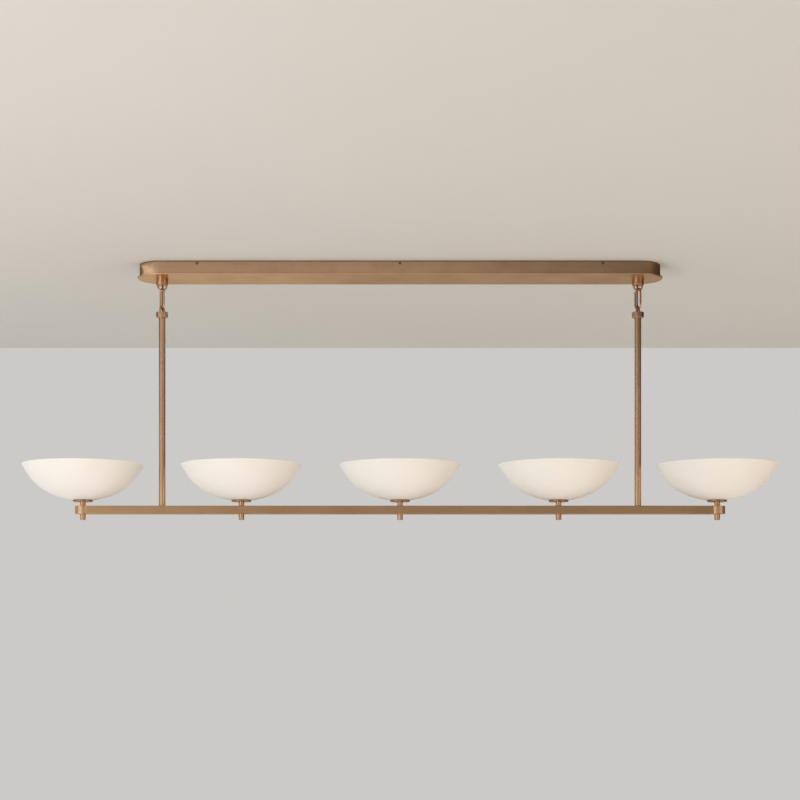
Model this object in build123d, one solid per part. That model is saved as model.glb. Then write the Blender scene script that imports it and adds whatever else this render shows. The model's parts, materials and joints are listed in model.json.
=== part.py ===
from build123d import *
import math
import os

# Linear island pendant. Millimetres, +Z up. The origin is the middle of the ceiling face:
# Z = 0 is the ceiling plane, X runs along the bar and the front faces -Y.

# ---- arrangement ----
BOWL_COUNT = 5
BOWL_SPACING = 384.0
ROD_SPACING = 1152.0

# ---- sheet, wire and fits ----
SEAT_GAP = 0.05            # between faces that meet inside one assembly
LOOP_GAP = 0.3             # between the canopy loop's wire and the link's
EYE_GAP = 0.9              # between the link's wire and the eye's, which turn crosswise
THREAD_GAP = 0.1           # radial, between a threaded tube and its hole
WIRE_DIA = 4.5             # bent wire of the loops, links and eyes
CORD_DIA = 4.0
CORD_HOLE_GAP = 0.3        # radial, round a cord

# ---- canopy and its bracket ----
CANOPY_WIDTH = 107.0
CANOPY_HEIGHT = 34.3       # ceiling to its lower face
SHADOW_GAP = 1.2           # ceiling to its upper rim
CANOPY_WALL = 1.2
CANOPY_FLOOR = 1.6
LIP_HEIGHT = 4.3
LIP_PROUD = 5.5
LIP_ROUND = 2.0
BRACKET_WALL = 1.5
BRACKET_DROP = 14.0        # ceiling to the upper face of the plate
BRACKET_SIDE_GAP = 0.8
RAIL_EDGE = 0.5
WIRE_HOLE_DIA = 40.0
BOX_SLOT_SPACING = 79.5
BOX_SLOT_LENGTH = 15.0
BOX_SLOT_WIDTH = 5.2
ANCHOR_SPACING = 900.0
ANCHOR_DIA = 5.5
CANOPY_SCREW_PITCH = 485.0
CANOPY_SCREW_DROP = 7.0
CANOPY_SCREW_REACH = 9.0
SCREW_DIA = 4.0
SCREW_HEAD_DIA = 7.0
SCREW_HEAD_HEIGHT = 2.2
SCREW_HEAD_ROUND = 1.3
SCREW_SOCKET_DIA = 3.2
SCREW_SOCKET_DEPTH = 1.1
EARTH_SCREW_X = 70.0
EARTH_SCREW_Y = -26.0
EARTH_HEAD_DIA = 8.0
EARTH_SCREW_REACH = 6.0
CONNECTOR_X = 24.0
CONNECTOR_LENGTH = 21.0
CONNECTOR_MOUTH_DIA = 11.0
CONNECTOR_TIP_DIA = 6.5
CONNECTOR_SKIRT = 4.2
CONNECTOR_WELL_DEPTH = 10.5
LEAD_DROP = 24.5           # ceiling to the centre line of the leads
LEAD_BEND = 7.5

# ---- bosses and canopy loops ----
BOSS_DIA = 28.6
BOSS_HEIGHT = 14.5
BOSS_EDGE = 0.8
LOOP_BASE_DIA = 25.6
LOOP_BASE_HEIGHT = 4.0
LOOP_WIDTH = 20.7          # between the wire's centre lines
LOOP_LEG = 1.9
SHANK_DIA = 10.0
SHANK_TOP_DROP = 3.0       # ceiling to the top of the shank
SHANK_NUT_WIDTH = 16.0
SHANK_NUT_HEIGHT = 6.0
JAM_NUT_HEIGHT = 4.0
SHANK_WASHER_DIA = 20.0
SHANK_WASHER_HEIGHT = 1.6

# ---- links, cords and rod loops ----
LINK_REACH = 49.0          # between the wire's centre lines at the two ends
LINK_WIDTH = 20.7
LINK_TWIST = -60.0         # about Z, from the plane of the bar
CORD_BACK = 9.2            # how far behind the middle the cords hang
EYE_WIDTH = 14.0
EYE_TWIST = 54.0
EYE_HEIGHT = 14.2          # collar top to the eye's highest centre line
EYE_ROOT = 1.5             # how deep the eye's feet go into the collar
COLLAR_DIA = 28.6
COLLAR_HEIGHT = 13.0
COLLAR_EDGE = 0.8
COLLAR_SOCKET = 5.5        # takes the top of the rod
COLLAR_CHAMBER = 3.0       # hollow above the rod, where the cord comes in
COLLAR_CHAMBER_DIA = 24.0

# ---- rods, bar and drums ----
ROD_DIA = 15.9
ROD_WALL = 1.2
ROD_VISIBLE = 456.3        # collar to bar
BAR_DEPTH = 31.75
BAR_HEIGHT = 19.05
BAR_WALL = 1.6
BAR_EDGE = 1.2
DRUM_DIA = 38.1
DRUM_WALL = 2.4
DRUM_EDGE = 0.8
DRUM_WINDOW_DEPTH = 22.0
DRUM_WINDOW_HEIGHT = 12.0
ROD_NIPPLE_DIA = 13.2
ROD_NIPPLE_WALL = 1.6
ROD_NIPPLE_IN_ROD = 22.0
ROD_NUT_WIDTH = 19.0
ROD_NUT_HEIGHT = 5.0
ROD_NIPPLE_BELOW_NUT = 1.5
BAR_LEAD_BACK = 10.0
BAR_LEAD_END_GAP = 30.0    # between the lead's end and the end stem

# ---- the light on each stem ----
STEM_DIA = 9.7
STEM_WALL = 1.3
NECK_DIA = 13.6
NECK_HEIGHT = 10.7
FINIAL_DIA = 13.6
FINIAL_HEIGHT = 14.3
FINIAL_ROUND = 1.6
FINIAL_BORE_DEPTH = 9.5
DISC_DIA = 48.0
DISC_WEB = 1.9             # at the middle of its dish
DISC_EDGE = 0.9
GASKET_THICK = 0.6
LOWER_GASKET_DIA = 40.0
UPPER_GASKET_DIA = 32.0
BOWL_WASHER_DIA = 34.0
BOWL_WASHER_RIM = 2.0      # thickness at its edge
BOWL_NUT_WIDTH = 14.0
BOWL_NUT_HEIGHT = 3.5
BOWL_DIA = 294.0           # to the rim's outer corner, before it is rounded
GLASS_THICK = 4.0
RIM_ROUND = 1.3
BOWL_HOLE_DIA = 12.0
BOWL_LEAN = 32.5           # upper wall, from the vertical
BOWL_WALL_LENGTH = 27.9
SHOULDER_RADIUS = 125.0
SHOULDER_END = 64.0        # lean where the shoulder meets the base
HOLDER_DIA = 20.0
HOLDER_HEIGHT = 24.0
HOLDER_FLANGE_DIA = 25.0
HOLDER_FLANGE_HEIGHT = 5.0
HOLDER_EDGE = 1.0
HOLDER_WELL_DIA = 12.5
HOLDER_WELL_DEPTH = 12.0
STEM_IN_HOLDER = 6.0
BULB_BASE_DIA = 11.5
BULB_DIA = 17.0
BULB_HEIGHT = 44.0         # above the lampholder
BULB_NECK = 5.0

# ---- levels, from the ceiling down ----
Z_FLOOR_TOP = -CANOPY_HEIGHT + CANOPY_FLOOR
Z_CANOPY = -CANOPY_HEIGHT
Z_PLATE_TOP = -BRACKET_DROP
Z_PLATE = Z_PLATE_TOP - BRACKET_WALL
Z_BOSS = Z_CANOPY - BOSS_HEIGHT
Z_LOOP = Z_BOSS - LOOP_LEG - LOOP_WIDTH / 2
Z_LINK_TOP = Z_LOOP + WIRE_DIA + LOOP_GAP
Z_LINK_LOW = Z_LINK_TOP - LINK_REACH
Z_EYE = Z_LINK_LOW + WIRE_DIA + EYE_GAP
Z_COLLAR = Z_EYE - EYE_HEIGHT
Z_ROD_TOP = Z_COLLAR - COLLAR_HEIGHT + COLLAR_SOCKET
Z_BAR_TOP = Z_COLLAR - COLLAR_HEIGHT - ROD_VISIBLE
Z_BAR = Z_BAR_TOP - BAR_HEIGHT
Z_DISC = Z_BAR_TOP + NECK_HEIGHT
Z_BOWL = Z_DISC + DISC_WEB + GASKET_THICK

# ---- plan positions ----
ROD_X = {"left": -ROD_SPACING / 2, "right": ROD_SPACING / 2}
BOWL_X = [BOWL_SPACING * (i - (BOWL_COUNT - 1) / 2) for i in range(BOWL_COUNT)]
END_X = {"left": BOWL_X[0], "right": BOWL_X[-1]}
SCREW_X = [-CANOPY_SCREW_PITCH, 0.0, CANOPY_SCREW_PITCH]

# ---- the bowl's profile: base arc about the axis, shoulder arc, straight wall ----
LEAN = math.radians(BOWL_LEAN)
TURN = math.radians(SHOULDER_END)
BASE_RADIUS = (
    BOWL_DIA / 2
    - BOWL_WALL_LENGTH * math.sin(LEAN)
    - SHOULDER_RADIUS * (math.cos(LEAN) - math.cos(TURN))
) / math.cos(TURN)
SHOULDER_CENTRE = (
    (BASE_RADIUS - SHOULDER_RADIUS) * math.cos(TURN),
    BASE_RADIUS - (BASE_RADIUS - SHOULDER_RADIUS) * math.sin(TURN),
)
Z_RIM = (
    Z_BOWL
    + SHOULDER_CENTRE[1]
    - SHOULDER_RADIUS * math.sin(LEAN)
    + BOWL_WALL_LENGTH * math.cos(LEAN)
)

# ---- the stack on each stem, above the glass ----
WASHER_SEAT_RADIUS = BASE_RADIUS - GLASS_THICK - GASKET_THICK - SEAT_GAP
WASHER_SEAT_DROP = math.sqrt(WASHER_SEAT_RADIUS**2 - (BOWL_WASHER_DIA / 2) ** 2)
Z_WASHER_TOP = Z_BOWL + BASE_RADIUS - WASHER_SEAT_DROP + BOWL_WASHER_RIM
Z_HOLDER = Z_WASHER_TOP + BOWL_NUT_HEIGHT + 2 * SEAT_GAP
Z_HOLDER_TOP = Z_HOLDER + HOLDER_HEIGHT


def upright(radius, height, z):
    """A cylinder on the Z axis whose foot is at z."""
    return Pos(0, 0, z + height / 2) * Cylinder(radius, height)


def tube(radius, bore_radius, height, z):
    return upright(radius, height, z) - upright(bore_radius, height, z)


def hex_nut(width, height, bore_radius, z):
    blank = extrude(RegularPolygon(width / 2, 6, major_radius=False), height)
    return Pos(0, 0, z) * blank - upright(bore_radius, height, z)


def turned(*edges):
    """A closed profile of radius and height, spun about the Z axis."""
    return revolve(make_face(Plane.XZ * Wire(edges)), Axis.Z)


def turned_polyline(*points):
    return revolve(make_face(Plane.XZ * Polyline(*points, close=True)), Axis.Z)


def slot_pan(straight, width, top, bottom):
    """A solid of round-ended plan, between two levels."""
    return Pos(0, 0, bottom) * extrude(SlotCenterToCenter(straight, width), top - bottom)


def swept_wire(path, diameter):
    return sweep(Plane(path @ 0, z_dir=path % 0) * Circle(diameter / 2), path)


def canopy():
    """A round-ended pan, open to the ceiling, with a rounded moulding round its lower edge."""
    wall = slot_pan(ROD_SPACING, CANOPY_WIDTH, -SHADOW_GAP, Z_CANOPY)
    lip = slot_pan(ROD_SPACING, CANOPY_WIDTH + 2 * LIP_PROUD, Z_CANOPY + LIP_HEIGHT, Z_CANOPY)
    lip = fillet(lip.edges().filter_by(GeomType.LINE).filter_by(Axis.X), LIP_ROUND)
    inside = slot_pan(ROD_SPACING, CANOPY_WIDTH - 2 * CANOPY_WALL, 0, Z_FLOOR_TOP)
    body = wall + lip - inside
    for x in ROD_X.values():
        body -= Pos(x, 0, 0) * upright(SHANK_DIA / 2 + THREAD_GAP, CANOPY_HEIGHT, Z_CANOPY)
        body -= Pos(x, CORD_BACK, 0) * cord_hole(CANOPY_HEIGHT, Z_CANOPY)
    for x in SCREW_X:
        body -= Pos(x, 0, -CANOPY_SCREW_DROP) * across(SCREW_DIA / 2 + THREAD_GAP)
    return body


def across(radius):
    """A cylinder along Y, wider than the canopy."""
    return Rot(90, 0, 0) * Cylinder(radius, CANOPY_WIDTH + 2 * LIP_PROUD)


def cord_hole(height, z):
    return upright(CORD_DIA / 2 + CORD_HOLE_GAP, height, z)


def bracket_width():
    return CANOPY_WIDTH - 2 * CANOPY_WALL - 2 * BRACKET_SIDE_GAP


def mounting_plate():
    """The round-ended plate that is screwed up to the ceiling box and carries the loops."""
    width = bracket_width() - 2 * (BRACKET_WALL + SEAT_GAP)
    body = slot_pan(ROD_SPACING, width, Z_PLATE_TOP, Z_PLATE)
    body -= upright(WIRE_HOLE_DIA / 2, BRACKET_WALL, Z_PLATE)
    for side in (-1, 1):
        slot = extrude(SlotOverall(BOX_SLOT_LENGTH, BOX_SLOT_WIDTH), BRACKET_WALL)
        body -= Pos(side * BOX_SLOT_SPACING / 2, 0, Z_PLATE) * slot
        anchor = upright(ANCHOR_DIA / 2, BRACKET_WALL, Z_PLATE)
        body -= Pos(side * ANCHOR_SPACING / 2, 0, 0) * anchor
    for x in ROD_X.values():
        body -= Pos(x, 0, 0) * upright(SHANK_DIA / 2 + THREAD_GAP, BRACKET_WALL, Z_PLATE)
    earth = upright(SCREW_DIA / 2 + THREAD_GAP, BRACKET_WALL, Z_PLATE)
    return body - Pos(EARTH_SCREW_X, EARTH_SCREW_Y, 0) * earth


def bracket_rails():
    """Two strips welded along the plate's edges; they meet the ceiling and take the canopy's screws."""
    height = BRACKET_DROP + BRACKET_WALL
    strip = Box(ROD_SPACING, BRACKET_WALL, height)
    strip = fillet(strip.edges().filter_by(Axis.Y), RAIL_EDGE)
    rails = []
    for side in (-1, 1):
        rail = Pos(0, side * (bracket_width() - BRACKET_WALL) / 2, -height / 2) * strip
        for x in SCREW_X:
            rail -= Pos(x, 0, -CANOPY_SCREW_DROP) * across(SCREW_DIA / 2 + THREAD_GAP)
        rails.append(rail)
    return Compound(children=rails)


def pan_head_screw(head_dia, reach):
    """A screw along Z: its head's underside is at 0 and its shank reaches down."""
    head = upright(head_dia / 2, SCREW_HEAD_HEIGHT, 0)
    head = fillet(head.edges().group_by(Axis.Z)[-1], SCREW_HEAD_ROUND)
    socket = extrude(RegularPolygon(SCREW_SOCKET_DIA / 2, 6), SCREW_SOCKET_DEPTH)
    head -= Pos(0, 0, SCREW_HEAD_HEIGHT - SCREW_SOCKET_DEPTH) * socket
    return head + upright(SCREW_DIA / 2, reach, -reach)


def canopy_screws():
    face = CANOPY_WIDTH / 2 + SEAT_GAP
    screw = pan_head_screw(SCREW_HEAD_DIA, CANOPY_SCREW_REACH)
    solids = []
    for x in SCREW_X:
        solids.append(Pos(x, -face, -CANOPY_SCREW_DROP) * Rot(90, 0, 0) * screw)
        solids.append(Pos(x, face, -CANOPY_SCREW_DROP) * Rot(-90, 0, 0) * screw)
    return Compound(children=solids)


def earth_screw():
    screw = Rot(180, 0, 0) * pan_head_screw(EARTH_HEAD_DIA, EARTH_SCREW_REACH)
    return Pos(EARTH_SCREW_X, EARTH_SCREW_Y, Z_PLATE - SEAT_GAP) * screw


def wire_connectors():
    """Twist-on cones that lie along X, with their mouths towards the rods."""
    tip, mouth = CONNECTOR_TIP_DIA / 2, CONNECTOR_MOUTH_DIA / 2
    well = CORD_DIA / 2 + CORD_HOLE_GAP
    cone = turned_polyline(
        (0, 0),
        (tip, 0),
        (mouth, CONNECTOR_LENGTH - CONNECTOR_SKIRT),
        (mouth, CONNECTOR_LENGTH),
        (well, CONNECTOR_LENGTH),
        (well, CONNECTOR_LENGTH - CONNECTOR_WELL_DEPTH),
        (0, CONNECTOR_LENGTH - CONNECTOR_WELL_DEPTH),
    )
    solids = []
    for side in (-1, 1):
        solids.append(Pos(side * CONNECTOR_X, CORD_BACK, -LEAD_DROP) * Rot(0, side * 90, 0) * cone)
    return Compound(children=solids)


def supply_lead(side):
    """Inside the canopy: from the connector along the floor and down into the boss."""
    start = CONNECTOR_X + CONNECTOR_LENGTH - CONNECTOR_WELL_DEPTH + SEAT_GAP
    route = FilletPolyline(
        (side * start, CORD_BACK, -LEAD_DROP),
        (side * ROD_SPACING / 2, CORD_BACK, -LEAD_DROP),
        (side * ROD_SPACING / 2, CORD_BACK, Z_CANOPY - BOSS_HEIGHT / 2),
        radius=LEAD_BEND,
    )
    return swept_wire(route, CORD_DIA)


def boss():
    body = upright(BOSS_DIA / 2, BOSS_HEIGHT, Z_BOSS)
    body = fillet(body.edges().group_by(Axis.Z)[0], BOSS_EDGE)
    body -= upright(LOOP_BASE_DIA / 2 + SEAT_GAP, LOOP_BASE_HEIGHT + SEAT_GAP, Z_BOSS)
    body -= upright(SHANK_DIA / 2 + THREAD_GAP, BOSS_HEIGHT, Z_BOSS)
    body -= Pos(0, CORD_BACK, 0) * cord_hole(BOSS_HEIGHT, Z_BOSS)
    return body


def canopy_loop():
    """A ring of wire in the plane of the bar, on a base with a threaded shank."""
    radius = LOOP_WIDTH / 2
    root = Z_BOSS + LOOP_BASE_HEIGHT / 2
    foot = Z_BOSS - LOOP_LEG
    path = Plane.XZ * Wire([
        Line((-radius, root), (-radius, foot)).edge(),
        CenterArc((0, foot), radius, 180, 180).edge(),
        Line((radius, foot), (radius, root)).edge(),
    ])
    body = upright(LOOP_BASE_DIA / 2, LOOP_BASE_HEIGHT, Z_BOSS)
    body += swept_wire(path, WIRE_DIA)
    body += upright(SHANK_DIA / 2, -SHANK_TOP_DROP - root, root)
    return body - Pos(0, CORD_BACK, 0) * cord_hole(LOOP_BASE_HEIGHT, Z_BOSS)


def at_rods(solid):
    return Compound(children=[Pos(x, 0, 0) * solid for x in ROD_X.values()])


def loop_nuts():
    bore = SHANK_DIA / 2 + SEAT_GAP
    above = Z_PLATE_TOP + SHANK_WASHER_HEIGHT + 2 * SEAT_GAP
    below = Z_PLATE - JAM_NUT_HEIGHT - SEAT_GAP
    upper = hex_nut(SHANK_NUT_WIDTH, SHANK_NUT_HEIGHT, bore, above)
    lower = hex_nut(SHANK_NUT_WIDTH, JAM_NUT_HEIGHT, bore, below)
    return Compound(children=[Pos(x, 0, 0) * nut for x in ROD_X.values() for nut in (upper, lower)])


def loop_washers():
    bore = SHANK_DIA / 2 + THREAD_GAP
    return at_rods(tube(SHANK_WASHER_DIA / 2, bore, SHANK_WASHER_HEIGHT, Z_PLATE_TOP + SEAT_GAP))


def link():
    """A long oval of wire that hangs twisted between the loop and the eye."""
    radius = LINK_WIDTH / 2
    top, low = Z_LINK_TOP - radius, Z_LINK_LOW + radius
    path = Plane.XZ * Wire([
        Line((-radius, low), (-radius, top)).edge(),
        CenterArc((0, top), radius, 180, -180).edge(),
        Line((radius, top), (radius, low)).edge(),
        CenterArc((0, low), radius, 0, -180).edge(),
    ])
    return Rot(0, 0, LINK_TWIST) * swept_wire(path, WIRE_DIA)


def supply_cord():
    """From the boss, behind the loop and the link, into the collar's chamber."""
    top = Z_CANOPY - BOSS_HEIGHT / 2 - SEAT_GAP
    foot = Z_ROD_TOP + SEAT_GAP
    return Pos(0, CORD_BACK, 0) * upright(CORD_DIA / 2, top - foot, foot)


def rod_loop():
    """The collar on top of a rod, with its eye."""
    body = upright(COLLAR_DIA / 2, COLLAR_HEIGHT, Z_COLLAR - COLLAR_HEIGHT)
    body = fillet(body.edges().filter_by(GeomType.CIRCLE), COLLAR_EDGE)
    radius = EYE_WIDTH / 2
    foot, shoulder = Z_COLLAR - EYE_ROOT, Z_EYE - radius
    path = Plane.XZ * Wire([
        Line((-radius, foot), (-radius, shoulder)).edge(),
        CenterArc((0, shoulder), radius, 180, -180).edge(),
        Line((radius, shoulder), (radius, foot)).edge(),
    ])
    body += Rot(0, 0, EYE_TWIST) * swept_wire(path, WIRE_DIA)
    body -= upright(ROD_DIA / 2 + SEAT_GAP, COLLAR_SOCKET, Z_COLLAR - COLLAR_HEIGHT)
    body -= upright(COLLAR_CHAMBER_DIA / 2, COLLAR_CHAMBER, Z_ROD_TOP)
    return body - Pos(0, CORD_BACK, 0) * cord_hole(COLLAR_HEIGHT - COLLAR_SOCKET, Z_ROD_TOP)


def rod():
    foot = Z_BAR_TOP + SEAT_GAP
    return tube(ROD_DIA / 2, ROD_DIA / 2 - ROD_WALL, Z_ROD_TOP - foot, foot)


def rod_nipples():
    """Threaded tubes that hold each rod down on the bar."""
    foot = Z_BAR_TOP - BAR_WALL - ROD_NUT_HEIGHT - ROD_NIPPLE_BELOW_NUT
    radius = ROD_NIPPLE_DIA / 2
    return at_rods(tube(radius, radius - ROD_NIPPLE_WALL, Z_BAR_TOP + ROD_NIPPLE_IN_ROD - foot, foot))


def rod_nuts():
    bore = ROD_NIPPLE_DIA / 2 + SEAT_GAP
    foot = Z_BAR_TOP - BAR_WALL - SEAT_GAP - ROD_NUT_HEIGHT
    return at_rods(hex_nut(ROD_NUT_WIDTH, ROD_NUT_HEIGHT, bore, foot))


def bar():
    """Rectangular tube between the end drums, hollowed round at its ends to fit them."""
    length = END_X["right"] - END_X["left"]
    middle = Z_BAR + BAR_HEIGHT / 2
    body = Box(length, BAR_DEPTH, BAR_HEIGHT)
    body = fillet(body.edges().filter_by(Axis.X), BAR_EDGE)
    body -= Box(length, BAR_DEPTH - 2 * BAR_WALL, BAR_HEIGHT - 2 * BAR_WALL)
    body = Pos(0, 0, middle) * body
    for x in END_X.values():
        body -= Pos(x, 0, 0) * upright(DRUM_DIA / 2 + SEAT_GAP, BAR_HEIGHT, Z_BAR)
    for x in BOWL_X[1:-1]:
        body -= Pos(x, 0, 0) * upright(STEM_DIA / 2 + THREAD_GAP, BAR_HEIGHT, Z_BAR)
    for x in ROD_X.values():
        body -= Pos(x, 0, 0) * upright(ROD_NIPPLE_DIA / 2 + THREAD_GAP, BAR_HEIGHT / 2, middle)
    return body


def end_drum(side):
    """A hollow turned drum with a window for the lead that faces the bar."""
    body = upright(DRUM_DIA / 2, BAR_HEIGHT, Z_BAR)
    body = fillet(body.edges().filter_by(GeomType.CIRCLE), DRUM_EDGE)
    body -= upright(DRUM_DIA / 2 - DRUM_WALL, BAR_HEIGHT - 2 * DRUM_WALL, Z_BAR + DRUM_WALL)
    body -= upright(STEM_DIA / 2 + THREAD_GAP, BAR_HEIGHT, Z_BAR)
    window = Box(DRUM_DIA / 2, DRUM_WINDOW_DEPTH, DRUM_WINDOW_HEIGHT)
    return body - Pos(-side * DRUM_DIA / 2, 0, Z_BAR + BAR_HEIGHT / 2) * window


def bar_lead():
    """The one straight wire along the floor of the bar."""
    half = END_X["right"] - BAR_LEAD_END_GAP
    lead = Rot(0, 90, 0) * Cylinder(CORD_DIA / 2, 2 * half)
    return Pos(0, BAR_LEAD_BACK, Z_BAR + BAR_WALL + CORD_DIA / 2 + SEAT_GAP) * lead


# ---- one light, on the Z axis ----

def ring_arc(radius_change, inner, outer):
    """The base arc moved by radius_change, between two distances from the axis."""
    radius = BASE_RADIUS + radius_change
    first = -math.degrees(math.acos(inner / radius))
    last = -math.degrees(math.acos(outer / radius))
    return CenterArc((0, Z_BOWL + BASE_RADIUS), radius, first, last - first).edge()


def lens_ring(low, high, inner, outer):
    """A ring between two copies of the base arc; low and high are how far each moves inwards."""
    under = ring_arc(-low, inner, outer)
    over = ring_arc(-high, inner, outer)
    return turned(
        under,
        Line(under @ 1, over @ 1).edge(),
        over,
        Line(over @ 0, under @ 0).edge(),
    )


def bowl_skin(depth):
    """The bowl's profile at one depth in the glass: base arc, shoulder arc and straight wall."""
    shoulder = (SHOULDER_CENTRE[0], Z_BOWL + SHOULDER_CENTRE[1])
    radius = SHOULDER_RADIUS - depth
    base = ring_arc(-depth, BOWL_HOLE_DIA / 2, (BASE_RADIUS - depth) * math.cos(TURN))
    turn = CenterArc(shoulder, radius, -SHOULDER_END, SHOULDER_END - BOWL_LEAN).edge()
    foot = turn @ 1
    rise = Z_RIM - foot.Y
    wall = Line(foot, (foot.X + rise * math.tan(LEAN), Z_RIM)).edge()
    return base, turn, wall


def bowl():
    """Open glass bowl with a level, rounded rim and a hole for the stem."""
    outer = bowl_skin(0)
    inner = bowl_skin(GLASS_THICK)
    rim = Line(outer[2] @ 1, inner[2] @ 1).edge()
    bore = Line(inner[0] @ 0, outer[0] @ 0).edge()
    body = turned(*outer, rim, *inner, bore)
    return fillet(body.edges().group_by(Axis.Z)[-1], RIM_ROUND)


def disc():
    """The dished disc that carries the glass."""
    radius, hole = DISC_DIA / 2, STEM_DIA / 2 + THREAD_GAP
    dish = ring_arc(GASKET_THICK, hole, radius)
    lip = dish @ 1
    body = turned(
        dish,
        Line(lip, (radius, Z_DISC)).edge(),
        Line((radius, Z_DISC), (hole, Z_DISC)).edge(),
        Line((hole, Z_DISC), dish @ 0).edge(),
    )
    return fillet(body.edges().group_by(SortBy.LENGTH)[-1], DISC_EDGE)


def lower_gasket():
    return lens_ring(SEAT_GAP - GASKET_THICK, -SEAT_GAP, BOWL_HOLE_DIA / 2, LOWER_GASKET_DIA / 2)


def upper_gasket():
    low = GLASS_THICK + SEAT_GAP
    return lens_ring(low, GLASS_THICK + GASKET_THICK, BOWL_HOLE_DIA / 2, UPPER_GASKET_DIA / 2)


def bowl_washer():
    """Flat on top, coned underneath to sit in the bowl."""
    hole, radius = STEM_DIA / 2 + THREAD_GAP, BOWL_WASHER_DIA / 2
    seat = ring_arc(WASHER_SEAT_RADIUS - BASE_RADIUS, hole, radius)
    return turned_polyline(
        seat @ 0,
        seat @ 1,
        (radius, Z_WASHER_TOP),
        (hole, Z_WASHER_TOP),
    )


def bowl_nut():
    bore = STEM_DIA / 2 + SEAT_GAP
    return hex_nut(BOWL_NUT_WIDTH, BOWL_NUT_HEIGHT, bore, Z_WASHER_TOP + SEAT_GAP)


def lampholder():
    """Ceramic holder with a flange at its foot, a well for the bulb and a tapped foot."""
    body = upright(HOLDER_FLANGE_DIA / 2, HOLDER_FLANGE_HEIGHT, Z_HOLDER)
    body += upright(HOLDER_DIA / 2, HOLDER_HEIGHT, Z_HOLDER)
    body = fillet(body.edges().group_by(Axis.Z)[-1], HOLDER_EDGE)
    body -= upright(HOLDER_WELL_DIA / 2, HOLDER_WELL_DEPTH, Z_HOLDER_TOP - HOLDER_WELL_DEPTH)
    return body - upright(STEM_DIA / 2 + SEAT_GAP, STEM_IN_HOLDER + SEAT_GAP, Z_HOLDER)


def bulb():
    """Capsule lamp: base in the holder's well, tapered neck and a domed frosted body."""
    seat = Z_HOLDER_TOP - HOLDER_WELL_DEPTH + SEAT_GAP
    top = Z_HOLDER_TOP + BULB_HEIGHT
    neck = Z_HOLDER_TOP + SEAT_GAP
    base, radius = BULB_BASE_DIA / 2, BULB_DIA / 2
    return turned(
        Line((0, seat), (base, seat)).edge(),
        Line((base, seat), (base, neck)).edge(),
        Line((base, neck), (radius, neck + BULB_NECK)).edge(),
        Line((radius, neck + BULB_NECK), (radius, top - radius)).edge(),
        CenterArc((0, top - radius), radius, 0, 90).edge(),
        Line((0, top), (0, seat)).edge(),
    )


def finial():
    """Cap nut under the bar, blind-bored from above."""
    top = Z_BAR - SEAT_GAP
    body = upright(FINIAL_DIA / 2, FINIAL_HEIGHT, top - FINIAL_HEIGHT)
    body = fillet(body.edges().group_by(Axis.Z)[0], FINIAL_ROUND)
    return body - upright(STEM_DIA / 2 + SEAT_GAP, FINIAL_BORE_DEPTH, top - FINIAL_BORE_DEPTH)


def neck():
    """Spacer between the bar and the disc."""
    bore = STEM_DIA / 2 + THREAD_GAP
    return tube(NECK_DIA / 2, bore, NECK_HEIGHT - 2 * SEAT_GAP, Z_BAR_TOP + SEAT_GAP)


def stem_nipple():
    """Threaded tube that holds one light together, from the finial to the lampholder."""
    foot = Z_BAR - FINIAL_BORE_DEPTH
    top = Z_HOLDER + STEM_IN_HOLDER
    return tube(STEM_DIA / 2, STEM_DIA / 2 - STEM_WALL, top - foot, foot)


def on_stems(solid):
    return Compound(children=[Pos(x, 0, 0) * solid for x in BOWL_X])


def node_table():
    nodes = {
        "mounting_plate": mounting_plate(),
        "bracket_rails": bracket_rails(),
        "canopy": canopy(),
        "canopy_screws": canopy_screws(),
        "earth_screw": earth_screw(),
        "wire_connectors": wire_connectors(),
        "loop_nuts": loop_nuts(),
        "loop_washers": loop_washers(),
        "rod_nipples": rod_nipples(),
        "rod_nuts": rod_nuts(),
        "bar": bar(),
        "bar_lead": bar_lead(),
        "necks": on_stems(neck()),
        "stem_nipples": on_stems(stem_nipple()),
        "lower_gaskets": on_stems(lower_gasket()),
        "upper_gaskets": on_stems(upper_gasket()),
        "bowl_washers": on_stems(bowl_washer()),
        "bowl_nuts": on_stems(bowl_nut()),
    }
    at_each_rod = {
        "boss": boss(),
        "canopy_loop": canopy_loop(),
        "link": link(),
        "supply_cord": supply_cord(),
        "rod_loop": rod_loop(),
        "rod": rod(),
    }
    for side, x in ROD_X.items():
        for name, solid in at_each_rod.items():
            nodes[f"{side}_{name}"] = Pos(x, 0, 0) * solid
        sign = math.copysign(1, x)
        nodes[f"{side}_supply_lead"] = supply_lead(sign)
        nodes[f"{side}_end_drum"] = Pos(END_X[side], 0, 0) * end_drum(sign)
    on_each_stem = {
        "bowl": bowl(),
        "disc": disc(),
        "lampholder": lampholder(),
        "bulb": bulb(),
        "finial": finial(),
    }
    for number, x in enumerate(BOWL_X, start=1):
        for name, solid in on_each_stem.items():
            nodes[f"{name}_{number}"] = Pos(x, 0, 0) * solid
    return nodes


os.makedirs("parts", exist_ok=True)
for node, shape in node_table().items():
    export_step(shape, f"parts/{node}.step")
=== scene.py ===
"""Finishes, cords, small fittings and a plain studio for a long pendant with five opal bowls."""

import json
import math

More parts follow.
